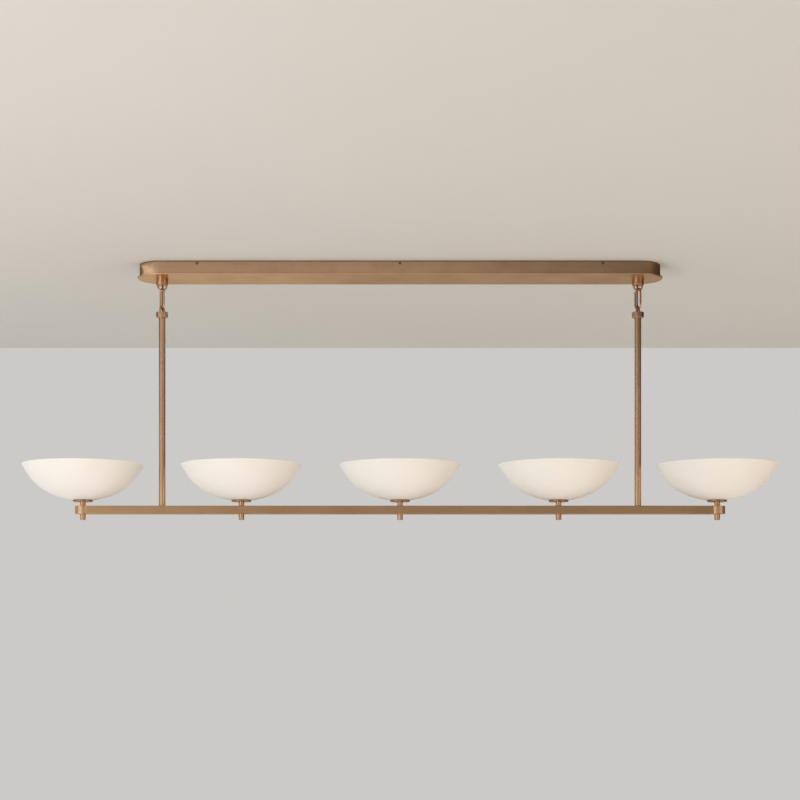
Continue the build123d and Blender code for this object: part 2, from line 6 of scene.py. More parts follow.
import bmesh
import bpy
from bpy.props import FloatProperty, FloatVectorProperty, PointerProperty
from bpy.types import Operator, Panel, PropertyGroup
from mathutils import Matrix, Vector

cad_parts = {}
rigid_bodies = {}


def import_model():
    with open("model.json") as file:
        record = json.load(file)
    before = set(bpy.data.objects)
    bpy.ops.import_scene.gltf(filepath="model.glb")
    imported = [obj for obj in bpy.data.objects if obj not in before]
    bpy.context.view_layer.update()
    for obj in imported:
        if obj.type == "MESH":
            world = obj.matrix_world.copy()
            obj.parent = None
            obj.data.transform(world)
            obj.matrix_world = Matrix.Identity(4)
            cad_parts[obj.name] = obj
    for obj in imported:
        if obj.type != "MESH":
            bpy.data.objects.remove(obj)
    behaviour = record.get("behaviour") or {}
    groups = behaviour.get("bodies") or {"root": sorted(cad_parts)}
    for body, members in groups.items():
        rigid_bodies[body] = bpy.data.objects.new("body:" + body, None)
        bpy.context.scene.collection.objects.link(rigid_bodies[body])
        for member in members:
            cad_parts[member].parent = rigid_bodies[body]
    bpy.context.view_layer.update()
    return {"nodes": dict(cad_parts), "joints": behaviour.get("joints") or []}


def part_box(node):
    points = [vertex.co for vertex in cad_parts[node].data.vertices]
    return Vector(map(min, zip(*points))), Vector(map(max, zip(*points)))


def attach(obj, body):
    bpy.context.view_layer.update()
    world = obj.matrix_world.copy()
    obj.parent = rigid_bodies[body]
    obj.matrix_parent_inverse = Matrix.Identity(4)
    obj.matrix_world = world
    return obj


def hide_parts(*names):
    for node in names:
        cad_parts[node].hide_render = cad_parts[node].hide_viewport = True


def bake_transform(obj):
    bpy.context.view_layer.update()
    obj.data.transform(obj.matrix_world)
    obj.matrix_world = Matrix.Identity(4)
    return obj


bl_info = {
    "name": "Island Pendant Dresser",
    "version": (1, 0, 0),
    "blender": (4, 5, 0),
    "location": "3D View > Sidebar > Pendant",
    "description": "Brass, opal glass, cords and a plain studio for a linear island pendant",
    "category": "Object",
}

for leftover in list(bpy.data.objects):
    bpy.data.objects.remove(leftover)
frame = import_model()
NODES = frame["nodes"]
MM = 0.001
EYE_TURN = 54.0  # degrees about the rod, from the plane of the bar
EYE_REACH = 7.0 * MM  # from the rod's axis to the middle of a foot of the eye
COLLAR_RISE = 7.5 * MM  # from the top of a rod to the top of its collar
SHANK_DIAMETER = 10.0 * MM
THREAD_PITCH = 0.95 * MM
CORD_OVERLAP = 0.4 * MM  # between the two pieces of a cord
RIM_SHADOW_BAND = 0.8 * MM  # height at the canopy's rim painted dark, a painted shadow line against the ceiling
TURNED_GRAIN = (1500.0, 1.0, 1500.0)


def middle(node):
    low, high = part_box(node)
    return (Vector(low) + Vector(high)) / 2


def joint_point(name):
    for joint in frame["joints"]:
        if joint["name"] == name:
            return Vector(joint["pos_m"])
    raise RuntimeError(f"the frame has no joint {name}")


BOWL_COUNT = sum(name.startswith("bowl_") and name[5:].isdigit() for name in NODES)
BOWL_SPACING = middle("bowl_2").x - middle("bowl_1").x
ROD_X = {side: middle(f"{side}_rod").x for side in ("left", "right")}
CORD_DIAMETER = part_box("left_supply_cord")[1][0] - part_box("left_supply_cord")[0][0]

# which finish each node of the frame takes
SHEET_BRASS = ("canopy",)
BAR_BRASS = ("bar",)
ROD_BRASS = ("left_rod", "right_rod")
TURNED_AT_RODS = ("left_boss", "right_boss", "left_rod_loop", "right_rod_loop", "rod_nipples")
TURNED_AT_STEMS = (
    "necks",
    "stem_nipples",
    "bowl_washers",
    *(f"finial_{number + 1}" for number in range(BOWL_COUNT)),
)
DRUMS = ("left_end_drum", "right_end_drum")
WIRE_BRASS = ("left_canopy_loop", "right_canopy_loop", "left_link", "right_link")
PLATED_STEEL = (
    "mounting_plate",
    "bracket_rails",
    "loop_nuts",
    "loop_washers",
    "bowl_nuts",
    "rod_nuts",
)


class PendantFinish(PropertyGroup):
    """Colours of the finishes."""

    brass: FloatVectorProperty(
        name="Brass",
        description="Satin brass of the canopy, rods, bar and turned pieces",
        subtype="COLOR",
        default=(0.56, 0.355, 0.215),
        min=0.0,
        max=1.0,
    )
    brass_shade: FloatVectorProperty(
        name="Brass patina",
        description="Browner tone that the brass drifts to in patches",
        subtype="COLOR",
        default=(0.41, 0.245, 0.135),
        min=0.0,
        max=1.0,
    )
    # lighter brass on the edges: partly rubbed wear, partly a painted highlight along them
    brass_edge_wear_and_highlight: FloatVectorProperty(
        name="Brass edge",
        description="Lighter brass where handling has rubbed the edges",
        subtype="COLOR",
        default=(0.80, 0.62, 0.44),
        min=0.0,
        max=1.0,
    )
    brass_roughness: FloatProperty(
        name="Brass roughness",
        description="Middle roughness of the satin brass",
        default=0.34,
        min=0.05,
        max=1.0,
    )
    opal: FloatVectorProperty(
        name="Opal glass",
        description="Body colour of the etched bowls",
        subtype="COLOR",
        default=(0.93, 0.895, 0.86),
        min=0.0,
        max=1.0,
    )
    cord: FloatVectorProperty(
        name="Cord",
        description="Braided sleeve of the supply cords",
        subtype="COLOR",
        default=(0.11, 0.05, 0.022),
        min=0.0,
        max=1.0,
    )


class PendantCords(PropertyGroup):
    """Sizes of the supply cords."""

    diameter: FloatProperty(
        name="Diameter",
        description="Outside diameter of a supply cord",
        default=CORD_DIAMETER,
        unit="LENGTH",
        min=0.002,
        max=0.01,
        precision=4,
    )
    bow: FloatProperty(
        name="Bow",
        description="How far a cord bows back, clear of its link",
        default=0.0012,
        unit="LENGTH",
        min=0.0,
        max=0.01,
        precision=4,
    )


class PendantStage(PropertyGroup):
    """The camera, the lamps and the plain room."""

    lens: FloatProperty(
        name="Lens",
        description="Focal length on a 36 mm wide sensor, in millimetres",
        default=77.0,
        min=20.0,
        max=200.0,
    )
    distance: FloatProperty(
        name="Camera distance",
        description="From the middle of the pendant to the camera, level with the floor",
        default=4.144,
        unit="LENGTH",
    )
    drop: FloatProperty(
        name="Camera drop",
        description="From the ceiling down to the camera",
        default=0.922,
        unit="LENGTH",
    )
    shift: FloatProperty(
        name="Lens shift",
        description="Upward shift of the picture, as a share of its width",
        default=0.3075,
    )
    backdrop: FloatVectorProperty(
        name="Backdrop",
        description="Colour behind the pendant and in its reflections",
        subtype="COLOR",
        default=(0.60, 0.59, 0.575),
        min=0.0,
        max=1.0,
    )
    room: FloatVectorProperty(
        name="Room",
        description="Paint of the ceiling panel",
        subtype="COLOR",
        default=(0.74, 0.73, 0.71),
        min=0.0,
        max=1.0,
    )
    floor: FloatVectorProperty(
        name="Floor",
        description="Paint of the floor",
        subtype="COLOR",
        default=(0.90, 0.89, 0.87),
        min=0.0,
        max=1.0,
    )
    ambient: FloatProperty(
        name="Ambient",
        description="Light that matt surfaces get from all round",
        default=0.54,
        min=0.0,
        max=2.0,
    )
    key_power: FloatProperty(
        name="Key power",
        description="Power of the large lamp to the front left, in watts",
        default=50.0,
        min=0.0,
    )
    fill_power: FloatProperty(
        name="Fill power",
        description="Power of the warm lamp to the front right, in watts",
        default=38.0,
        min=0.0,
    )
    top_power: FloatProperty(
        name="Top power",
        description="Power of the soft lamp overhead, in watts",
        default=34.0,
        min=0.0,
    )


class Graph:
    """The node tree of one material, with short calls for what the finishes share."""

    def __init__(self, name):
        self.material = bpy.data.materials.new(name)
        self.material.use_nodes = True
        self.tree = self.material.node_tree
        self.tree.nodes.clear()
        self.shader = self.add("ShaderNodeBsdfPrincipled")
        self.output = self.add("ShaderNodeOutputMaterial")
        self.join(self.shader.outputs["BSDF"], self.output.inputs["Surface"])

    def add(self, kind, **settings):
        node = self.tree.nodes.new(kind)
        for name, value in settings.items():
            setattr(node, name, value)
        return node

    def join(self, source, target):
        self.tree.links.new(source, target)

    def put(self, value, socket):
        """Joins an output to a socket, or sets a plain value on it."""
        if isinstance(value, bpy.types.NodeSocket):
            self.join(value, socket)
        else:
            socket.default_value = value

    def place(self):
        return self.add("ShaderNodeTexCoord").outputs["Object"]

    def stretched(self, vector, scale):
        node = self.add("ShaderNodeMapping")
        node.inputs["Scale"].default_value = scale
        self.join(vector, node.inputs["Vector"])
        return node.outputs["Vector"]

    def noise(self, vector, scale, detail=2.0, roughness=0.5):
        node = self.add("ShaderNodeTexNoise")
        node.inputs["Scale"].default_value = scale
        node.inputs["Detail"].default_value = detail
        node.inputs["Roughness"].default_value = roughness
        self.join(vector, node.inputs["Vector"])
        return node.outputs["Fac"]

    def maths(self, operation, *values):
        node = self.add("ShaderNodeMath", operation=operation)
        for value, socket in zip(values, node.inputs):
            self.put(value, socket)
        return node.outputs["Value"]

    def span(self, value, low, high, to_low, to_high):
        node = self.add("ShaderNodeMapRange")
        self.join(value, node.inputs["Value"])
        for name, number in zip(
            ("From Min", "From Max", "To Min", "To Max"), (low, high, to_low, to_high)
        ):
            node.inputs[name].default_value = number
        return node.outputs["Result"]

    def mix(self, factor, first, second):
        node = self.add("ShaderNodeMix", data_type="RGBA")
        self.put(factor, node.inputs["Factor"])
        for value, socket in ((first, node.inputs[6]), (second, node.inputs[7])):
            self.put(value if isinstance(value, bpy.types.NodeSocket) else (*value, 1.0), socket)
        return node.outputs[2]

    def bump(self, height, strength, distance):
        node = self.add("ShaderNodeBump")
        node.inputs["Strength"].default_value = strength
        node.inputs["Distance"].default_value = distance
        self.join(height, node.inputs["Height"])
        self.join(node.outputs["Normal"], self.shader.inputs["Normal"])

    def edges(self, radius, gain):
        """1 on edges that are tighter than the radius and 0 on open faces."""
        bevel = self.add("ShaderNodeBevel", samples=4)
        bevel.inputs["Radius"].default_value = radius
        facing = self.add("ShaderNodeVectorMath", operation="DOT_PRODUCT")
        self.join(bevel.outputs["Normal"], facing.inputs[0])
        self.join(self.add("ShaderNodeNewGeometry").outputs["Normal"], facing.inputs[1])
        turned = self.maths("SUBTRACT", 1.0, facing.outputs["Value"])
        product = self.add("ShaderNodeMath", operation="MULTIPLY", use_clamp=True)
        self.join(turned, product.inputs[0])
        product.inputs[1].default_value = gain
        return product.outputs["Value"]

    def thin(self, factor, first, second):
        """Mixes two closures into the output, by a factor from 0 to 1."""
        choice = self.add("ShaderNodeMixShader")
        self.put(factor, choice.inputs[0])
        self.join(first, choice.inputs[1])
        self.join(second, choice.inputs[2])
        self.join(choice.outputs["Shader"], self.output.inputs["Surface"])

    def clear(self):
        return self.add("ShaderNodeBsdfTransparent").outputs["BSDF"]

    def turned(self, offset):
        """Radius and height about the nearest of the upright axes that repeat along X."""
        parts = self.add("ShaderNodeSeparateXYZ")
        self.join(self.place(), parts.inputs["Vector"])
        from_axis = self.maths("SUBTRACT", parts.outputs["X"], offset)
        across = self.maths("WRAP", from_axis, BOWL_SPACING / 2, -BOWL_SPACING / 2)
        radius = self.maths(
            "SQRT",
            self.maths(
                "ADD",
                self.maths("MULTIPLY", across, across),
                self.maths("MULTIPLY", parts.outputs["Y"], parts.outputs["Y"]),
            ),
        )
        joined = self.add("ShaderNodeCombineXYZ")
        self.join(radius, joined.inputs["X"])
        self.join(parts.outputs["Z"], joined.inputs["Z"])
        return joined.outputs["Vector"]


def settings():
    return bpy.context.scene.pendant_finish


def satin_brass(
    name, grain, grain_scale, tone=(1.0, 1.0, 1.0), rub_and_highlight=(0.0007, 0.45), painted_shadow_above=None
):
    """Brushed brass; grain(graph) gives the space in which the brush lines are drawn.

    The tone scales its colour; for most parts it holds painted light and shade, making lighter and
    darker copies of the one brass. The edge setting is the radius and strength of the lighter
    edges, partly rubbed wear and partly a painted highlight, and above the given height a dark band
    is painted as a painted shadow, the shadow line where the canopy meets the ceiling.
    """
    finish = settings()
    graph = Graph(name)
    place = graph.place()
    lines = graph.noise(graph.stretched(grain(graph), grain_scale), 1.0, 4.0, 0.65)
    cloud = graph.noise(place, 11.0, 3.0, 0.55)
    fine = graph.noise(place, 900.0, 1.0)
    body = [channel * share for channel, share in zip(finish.brass, tone)]
    shade = [channel * share for channel, share in zip(finish.brass_shade, tone)]
    clouded = graph.mix(graph.span(cloud, 0.42, 0.72, 0.0, 0.55), body, shade)
    streaked = graph.mix(graph.span(lines, 0.35, 0.75, 0.0, 0.30), clouded, shade)
    # lighter edges: rubbed wear plus a painted highlight along them
    rubbed_and_highlit = graph.maths("MULTIPLY", graph.edges(rub_and_highlight[0], 3.0), rub_and_highlight[1])
    colour = graph.mix(rubbed_and_highlit, streaked, finish.brass_edge_wear_and_highlight)
    # painted shadow: a dark band at the top of the canopy's wall, the shadow line where it meets
    # the ceiling
    if painted_shadow_above is not None:
        parts = graph.add("ShaderNodeSeparateXYZ")
        graph.join(place, parts.inputs["Vector"])
        painted_rim_shadow = graph.span(parts.outputs["Z"], painted_shadow_above - 1.5 * MM, painted_shadow_above, 0.0, 0.85)
        colour = graph.mix(painted_rim_shadow, colour, (0.10, 0.06, 0.035))
    graph.put(colour, graph.shader.inputs["Base Color"])
    graph.shader.inputs["Metallic"].default_value = 1.0
    graph.shader.inputs["Specular Tint"].default_value = (0.98, 0.80, 0.60, 1.0)
    rough = finish.brass_roughness
    by_lines = graph.span(lines, 0.3, 0.7, rough - 0.05, rough + 0.07)
    by_cloud = graph.span(cloud, 0.35, 0.75, -0.03, 0.05)
    graph.put(graph.maths("ADD", by_lines, by_cloud), graph.shader.inputs["Roughness"])
    graph.bump(graph.maths("ADD", lines, graph.maths("MULTIPLY", fine, 0.25)), 0.12, 0.00012)
    return graph.material


def along_x(graph):
    return graph.place()


def turned_at_stems(graph):
    return graph.turned(0.0)


def turned_at_rods(graph):
    return graph.turned(ROD_X["right"])


def opal_glass():
    """Blown opal glass, etched to a satin, with the slow ripple of the mould."""
    graph = Graph("opal_glass_etched")
    place = graph.place()
    ripple = graph.noise(place, 14.0, 2.0, 0.4)
    etch = graph.noise(place, 1400.0, 2.0, 0.6)
    opal = settings().opal
    denser = [channel * 0.965 for channel in opal]
    graph.put(graph.mix(ripple, opal, denser), graph.shader.inputs["Base Color"])
    graph.put(graph.span(etch, 0.3, 0.7, 0.36, 0.46), graph.shader.inputs["Roughness"])
    graph.shader.inputs["IOR"].default_value = 1.5
    graph.shader.inputs["Subsurface Weight"].default_value = 0.35
    graph.shader.inputs["Subsurface Radius"].default_value = (1.0, 0.8, 0.55)
    graph.shader.inputs["Subsurface Scale"].default_value = 0.008
    graph.bump(graph.maths("ADD", ripple, graph.maths("MULTIPLY", etch, 0.004)), 0.25, 0.0012)
    return graph.material


def plated_steel():
    """Zinc plate with its faint spangle."""
    graph = Graph("zinc_plated_steel")
    place = graph.place()
    spangle = graph.add("ShaderNodeTexVoronoi", feature="F1")
    spangle.inputs["Scale"].default_value = 160.0
    graph.join(place, spangle.inputs["Vector"])
    grain = graph.noise(place, 700.0, 2.0)
    tone = graph.mix(spangle.outputs["Distance"], (0.62, 0.63, 0.64), (0.50, 0.51, 0.53))
    graph.put(tone, graph.shader.inputs["Base Color"])
    graph.shader.inputs["Metallic"].default_value = 1.0
    graph.put(graph.span(grain, 0.3, 0.7, 0.30, 0.46), graph.shader.inputs["Roughness"])
    graph.bump(grain, 0.15, 0.0001)
    return graph.material


def plain_finish(name, light, dark, roughness, scale, bump=0.2, metallic=0.0):
    """A mottled finish of two near tones, with a fine surface grain."""
    graph = Graph(name)
    place = graph.place()
    mottle = graph.noise(place, scale, 3.0, 0.6)
    grain = graph.noise(place, scale * 12.0, 2.0)
    graph.put(graph.mix(mottle, light, dark), graph.shader.inputs["Base Color"])
    graph.shader.inputs["Metallic"].default_value = metallic
    low, high = roughness - 0.06, roughness + 0.06
    graph.put(graph.span(grain, 0.3, 0.7, low, high), graph.shader.inputs["Roughness"])
    graph.bump(grain, bump, 0.0001)
    return graph.material


def frosted_bulb():
    """Frosted capsule glass: a pale satin shell that lets light in."""
    graph = Graph("frosted_bulb_glass")
    frost = graph.noise(graph.place(), 1100.0, 2.0)
    graph.put(
        graph.mix(frost, (0.95, 0.94, 0.91), (0.88, 0.87, 0.84)), graph.shader.inputs["Base Color"]
    )
    graph.put(graph.span(frost, 0.3, 0.7, 0.30, 0.44), graph.shader.inputs["Roughness"])
    graph.shader.inputs["Subsurface Weight"].default_value = 0.4
    graph.shader.inputs["Subsurface Radius"].default_value = (1.0, 0.95, 0.85)
    graph.shader.inputs["Subsurface Scale"].default_value = 0.006
    graph.bump(frost, 0.1, 0.0001)
    return graph.material


def braided_sleeve():
    """Two sets of strands that cross at a slant, drawn on the cord's own UV map."""
    graph = Graph("braided_cord_sleeve")
    uv = graph.add("ShaderNodeUVMap", uv_map="sleeve").outputs["UV"]
    parts = graph.add("ShaderNodeSeparateXYZ")
    graph.join(uv, parts.inputs["Vector"])
    waves = []
    for hand in (-1.0, 1.0):
        slant = graph.maths("MULTIPLY", parts.outputs["Y"], hand)
        turn = graph.maths("MULTIPLY", graph.maths("ADD", parts.outputs["X"], slant), 8 * math.tau)
        waves.append(graph.maths("SINE", turn))
    weave = graph.maths("MAXIMUM", *waves)
    cord = settings().cord
    lit = [channel * 1.9 for channel in cord]
    strands = graph.mix(graph.span(weave, -0.6, 1.0, 0.0, 1.0), cord, lit)
    graph.put(strands, graph.shader.inputs["Base Color"])
    graph.shader.inputs["Roughness"].default_value = 0.72
    graph.shader.inputs["Sheen Weight"].default_value = 0.25
    graph.bump(weave, 0.6, 0.0002)
    return graph.material


def give(material, names):
    """Puts one finish on nodes of the frame."""
    for name in names:
        for slot in NODES[name].material_slots:
            slot.material = material


def numbered(stem):
    return [f"{stem}_{number + 1}" for number in range(BOWL_COUNT)]


class PENDANT_OT_brass(Operator):
    """Brushes the canopy, rods and bar lengthwise, and the turned pieces round their axes"""

    bl_idname = "pendant.brass"
    bl_label = "Finish the brass"

    def execute(self, context):
        # lit and shaded copies of the one brass, as painted light and shade: the bar, rods and
        # discs darker as painted shade, the drums and canopy paler as a painted highlight, and the
        # collars paler to take out the warmth of the light that the brass around them reflects
        canopy_painted_highlight, bar_painted_shade = (1.02, 1.06, 1.15), (0.79, 0.77, 0.72)
        rod_painted_shade, collar_painted_light = (0.96, 0.98, 1.02), (0.95, 1.0, 1.08)
        disc_painted_shade, drum_painted_highlight = (0.67, 0.62, 0.62), (1.10, 1.14, 1.16)
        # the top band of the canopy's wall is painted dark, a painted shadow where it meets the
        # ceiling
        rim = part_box("canopy")[1][2]
        # the canopy's edges take a wide, strong painted highlight, brightest on the bead of its
        # lip, over their rubbed wear
        canopy = satin_brass(
            "satin_brass_canopy",
            along_x,
            (7.0, 850.0, 850.0),
            canopy_painted_highlight,
            rub_and_highlight=(0.0016, 0.95),
            painted_shadow_above=rim - RIM_SHADOW_BAND,
        )
        give(canopy, SHEET_BRASS)
        give(satin_brass("satin_brass_bar", along_x, (7.0, 1100.0, 1100.0), bar_painted_shade), BAR_BRASS)
        give(satin_brass("satin_brass_rods", along_x, (1100.0, 1100.0, 7.0), rod_painted_shade), ROD_BRASS)
        give(satin_brass("satin_brass_wire", along_x, (500.0, 500.0, 160.0)), WIRE_BRASS)
        collars = satin_brass("satin_brass_collars", turned_at_rods, TURNED_GRAIN, collar_painted_light)
        give(collars, TURNED_AT_RODS)
        give(satin_brass("satin_brass_turnings", turned_at_stems, TURNED_GRAIN), TURNED_AT_STEMS)
        give(satin_brass("satin_brass_drums", turned_at_stems, TURNED_GRAIN, drum_painted_highlight), DRUMS)
        discs = satin_brass("satin_brass_discs", turned_at_stems, TURNED_GRAIN, disc_painted_shade)
        give(discs, numbered("disc"))
        return {"FINISHED"}


class PENDANT_OT_glass(Operator):
    """Gives the bowls their etched opal glass and the bulbs their frost"""

    bl_idname = "pendant.glass"
    bl_label = "Finish the glass"

    def execute(self, context):
        give(opal_glass(), numbered("bowl"))
        give(frosted_bulb(), numbered("bulb"))
        return {"FINISHED"}


class PENDANT_OT_fittings(Operator):
    """Finishes the steel, screws, connectors, gaskets, leads and lampholders"""

    bl_idname = "pendant.fittings"
    bl_label = "Finish the fittings"

    def execute(self, context):
        give(plated_steel(), PLATED_STEEL)
        dark = plain_finish(
            "darkened_screws", (0.27, 0.165, 0.095), (0.19, 0.115, 0.065), 0.42, 220.0, metallic=1.0
        )
        give(dark, ("canopy_screws",))
        green = plain_finish(
            "green_painted_screw", (0.06, 0.24, 0.09), (0.045, 0.18, 0.07), 0.38, 260.0
        )
        give(green, ("earth_screw",))
        orange = plain_finish(
            "connector_plastic", (0.70, 0.20, 0.03), (0.62, 0.17, 0.025), 0.45, 90.0
        )
        give(orange, ("wire_connectors",))
        pad = plain_finish(
            "gasket_silicone", (0.70, 0.69, 0.66), (0.62, 0.61, 0.58), 0.62, 240.0
        )
        give(pad, ("lower_gaskets", "upper_gaskets"))
        sleeve = plain_finish(
            "lead_sleeve", (0.035, 0.024, 0.018), (0.022, 0.015, 0.011), 0.6, 300.0
        )
        give(sleeve, ("left_supply_lead", "right_supply_lead", "bar_lead"))
        glaze = plain_finish(
            "glazed_ceramic", (0.84, 0.83, 0.80), (0.78, 0.77, 0.73), 0.20, 130.0, 0.1
        )
        give(glaze, numbered("lampholder"))
        return {"FINISHED"}


def smooth_path(points):
    """The points of a NURBS spline of order 3 through a short list of control points."""
    curve = bpy.data.curves.new("route", "CURVE")
    curve.dimensions = "3D"
    curve.resolution_u = 12
    spline = curve.splines.new("NURBS")
    spline.points.add(len(points) - 1)
    for control, point in zip(spline.points, points):
        control.co = (*point, 1.0)
    spline.order_u = 3
    spline.use_endpoint_u = True
    holder = bpy.data.objects.new("route", curve)
    bpy.context.scene.collection.objects.link(holder)
    mesh = bpy.data.meshes.new_from_object(holder)
    path = [vertex.co.copy() for vertex in mesh.vertices]
    bpy.data.objects.remove(holder)
    bpy.data.meshes.remove(mesh)
    bpy.data.curves.remove(curve)
    return path


def cord_tube(name, path, diameter, sides=20):
    """A closed tube along a path that lies in a plane of Y and Z, with a UV map for its sleeve."""
    mesh = bmesh.new()
    uv_layer = mesh.loops.layers.uv.new("sleeve")
    rings, lengths = [], [0.0]
    for before, after in zip(path, path[1:]):
        lengths.append(lengths[-1] + (after - before).length)
    for index, point in enumerate(path):
        ahead = path[min(index + 1, len(path) - 1)]
        behind = path[max(index - 1, 0)]
        side = (ahead - behind).normalized().cross(Vector((1.0, 0.0, 0.0)))
        ring = []
        for step in range(sides):
            angle = math.tau * step / sides
            offset = Vector((1.0, 0.0, 0.0)) * math.cos(angle) + side * math.sin(angle)
            ring.append(mesh.verts.new(point + offset * diameter / 2))
        rings.append(ring)
    girth = math.pi * diameter
    for row, (low, high) in enumerate(zip(rings, rings[1:])):
        for step in range(sides):
            after = (step + 1) % sides
            face = mesh.faces.new((low[step], low[after], high[after], high[step]))
            face.smooth = True
            corners = ((step, row), (step + 1, row), (step + 1, row + 1), (step, row + 1))
            for loop, (around, along) in zip(face.loops, corners):
                loop[uv_layer].uv = (around / sides, lengths[along] / girth)
    mesh.faces.new(rings[0])
    mesh.faces.new(rings[-1])
    bmesh.ops.recalc_face_normals(mesh, faces=mesh.faces[:])
    data = bpy.data.meshes.new(name)
    mesh.to_mesh(data)
    mesh.free()
    tube = bpy.data.objects.new(name, data)
    bpy.context.scene.collection.objects.link(tube)
    return tube


class PENDANT_OT_cords(Operator):
    """Runs a braided cord behind each link, in two pieces that bend at the loop and at the eye"""

    bl_idname = "pendant.cords"
    bl_label = "Add the supply cords"

    def execute(self, context):
        sizes = context.scene.pendant_cords
        sleeve = braided_sleeve()
        loop, eye = joint_point("left_link_swing").z, joint_point("frame_swing").z
        for side in ("left", "right"):
            node = f"{side}_supply_cord"
            low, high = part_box(node)
            x, y = ROD_X[side], middle(node).y
            half_way = (loop + eye) / 2
            boss_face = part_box(f"{side}_boss")[0][2]
            collar_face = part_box(f"{side}_rod")[1][2] + COLLAR_RISE
            upper = smooth_path([
                (x, y, high[2] - 0.5 * MM),
                (x, y, boss_face),
                (x, y + sizes.bow, loop + 4 * MM),
                (x, y + sizes.bow, half_way - CORD_OVERLAP / 2),
            ])
            lower = smooth_path([
                (x, y + sizes.bow, half_way + CORD_OVERLAP / 2),
                (x, y + sizes.bow, eye - 3 * MM),
                (x, y, collar_face),
                (x, y, low[2] + 0.5 * MM),
            ])
            top = cord_tube(f"{side}_cord_upper", upper, sizes.diameter)
            foot = cord_tube(f"{side}_cord_lower", lower, sizes.diameter)
            for piece in (top, foot):
                piece.data.materials.append(sleeve)
                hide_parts(node)
            # the two links turn about one line, so the left one stands for both at the eye
            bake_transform(top)
            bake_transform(foot)
        return {"FINISHED"}


def start_piece():
    """Leaves nothing selected, so that the next operators act on the new piece alone."""
    if bpy.context.object and bpy.context.object.mode != "OBJECT":
        bpy.ops.object.mode_set(mode="OBJECT")
    bpy.ops.object.select_all(action="DESELECT")


def finish_piece(name, material, body):
    """Names the active piece, puts its place in its mesh, and lets it ride on a body."""
    bpy.ops.mesh.select_all(action="SELECT")
    bpy.ops.mesh.normals_make_consistent(inside=False)
    bpy.ops.object.mode_set(mode="OBJECT")
    piece = bpy.context.object
    piece.name = piece.data.name = name
    bpy.ops.object.transform_apply(location=True, rotation=True, scale=True)
    bpy.ops.object.shade_smooth_by_angle(angle=math.radians(40.0))
    piece.data.materials.clear()
    piece.data.materials.append(material)
    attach(piece, body)


def thread_crests(name, x, top, count, material):
    """Crests of the thread on a shank's end, above its nut: thin ridges at the lead's slant."""
    start_piece()
    bpy.ops.mesh.primitive_torus_add(
        location=(x, 0.0, top),
        major_radius=SHANK_DIAMETER / 2,
        minor_radius=0.34 * MM,
        major_segments=64,
        minor_segments=6,
    )
    bpy.ops.object.mode_set(mode="EDIT")
    bpy.ops.mesh.select_all(action="SELECT")
    bpy.ops.transform.resize(value=(0.984, 0.984, 0.72))
    bpy.ops.transform.rotate(value=THREAD_PITCH / SHANK_DIAMETER, orient_axis="X")
    for _ in range(count - 1):
        bpy.ops.mesh.duplicate_move(TRANSFORM_OT_translate={"value": (0.0, 0.0, -THREAD_PITCH)})
    finish_piece(name, material, "ceiling_group")


def braze_fillet(name, place, material):
    """The small flare of braze where a foot of the eye stands on its collar."""
    start_piece()
    bpy.ops.mesh.primitive_circle_add(
        vertices=48, radius=3.0 * MM, fill_type="NGON", location=place
    )
    bpy.ops.object.mode_set(mode="EDIT")
    for rise, shrink in ((0.12, 0.915), (0.22, 0.925), (0.34, 0.945), (0.32, 0.975)):
        step = {"value": (0.0, 0.0, rise * MM)}
        bpy.ops.mesh.extrude_region_move(TRANSFORM_OT_translate=step)
        bpy.ops.transform.resize(value=(shrink, shrink, 1.0))
    finish_piece(name, material, "hanging_frame")


class PENDANT_OT_details(Operator):
    """Adds the thread on the shanks' ends and the braze at the eyes' feet"""

    bl_idname = "pendant.details"
    bl_label = "Add the small details"

    def execute(self, context):
        turned = satin_brass("satin_brass_thread", turned_at_rods, TURNED_GRAIN)
        braze = satin_brass("brazed_joint", along_x, (260.0, 260.0, 260.0), (1.05, 1.12, 1.15))
        for side in ("left", "right"):
            x = ROD_X[side]
            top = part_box(f"{side}_canopy_loop")[1][2] - 0.7 * MM
            thread_crests(f"{side}_shank_thread", x, top, 3, turned)
            collar_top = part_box(f"{side}_rod")[1][2] + COLLAR_RISE
            for number, hand in enumerate((-1.0, 1.0), start=1):
                reach, turn = EYE_REACH * hand, math.radians(EYE_TURN)
                foot = (x + reach * math.cos(turn), reach * math.sin(turn), collar_top - 0.04 * MM)
                braze_fillet(f"{side}_eye_braze_{number}", foot, braze)
        return {"FINISHED"}


def stage_plane(name, corners, faces=((0, 1, 2, 3),)):
    """A flat stage panel on the given corners, whose front follows their order."""
    mesh = bpy.data.meshes.new(name)
    mesh.from_pydata(corners, [], faces)
    panel = bpy.data.objects.new(name, mesh)
    bpy.context.scene.collection.objects.link(panel)
    return panel


def panel_round_canopy(name, side, near, far, height):
    """A level panel that faces down, open above the inside of the canopy."""
    low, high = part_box("canopy")
    inset = 21 * MM
    open_x, open_y = high[0] - 2 * inset, high[1] - inset
    corners = [
        (-side, near, height), (-side, far, height), (side, far, height), (side, near, height),
        (-open_x, -open_y, height), (-open_x, open_y, height),
        (open_x, open_y, height), (open_x, -open_y, height),
    ]
    faces = [(0, 1, 5, 4), (1, 2, 6, 5), (2, 3, 7, 6), (3, 0, 4, 7)]
    return stage_plane(name, corners, faces)


def room_paint(name, colour):
    """Matt paint with a soft mottle, on a panel that shows nothing from its back."""
    graph = Graph(name)
    mottle = graph.noise(graph.place(), 1.6, 3.0, 0.5)
    deeper = [channel * 0.96 for channel in colour]
    graph.put(graph.mix(mottle, colour, deeper), graph.shader.inputs["Base Color"])
    graph.shader.inputs["Roughness"].default_value = 0.9
    graph.shader.inputs["Specular IOR Level"].default_value = 0.0
    behind = graph.add("ShaderNodeNewGeometry").outputs["Backfacing"]
    graph.thin(behind, graph.shader.outputs["BSDF"], graph.clear())
    return graph.material


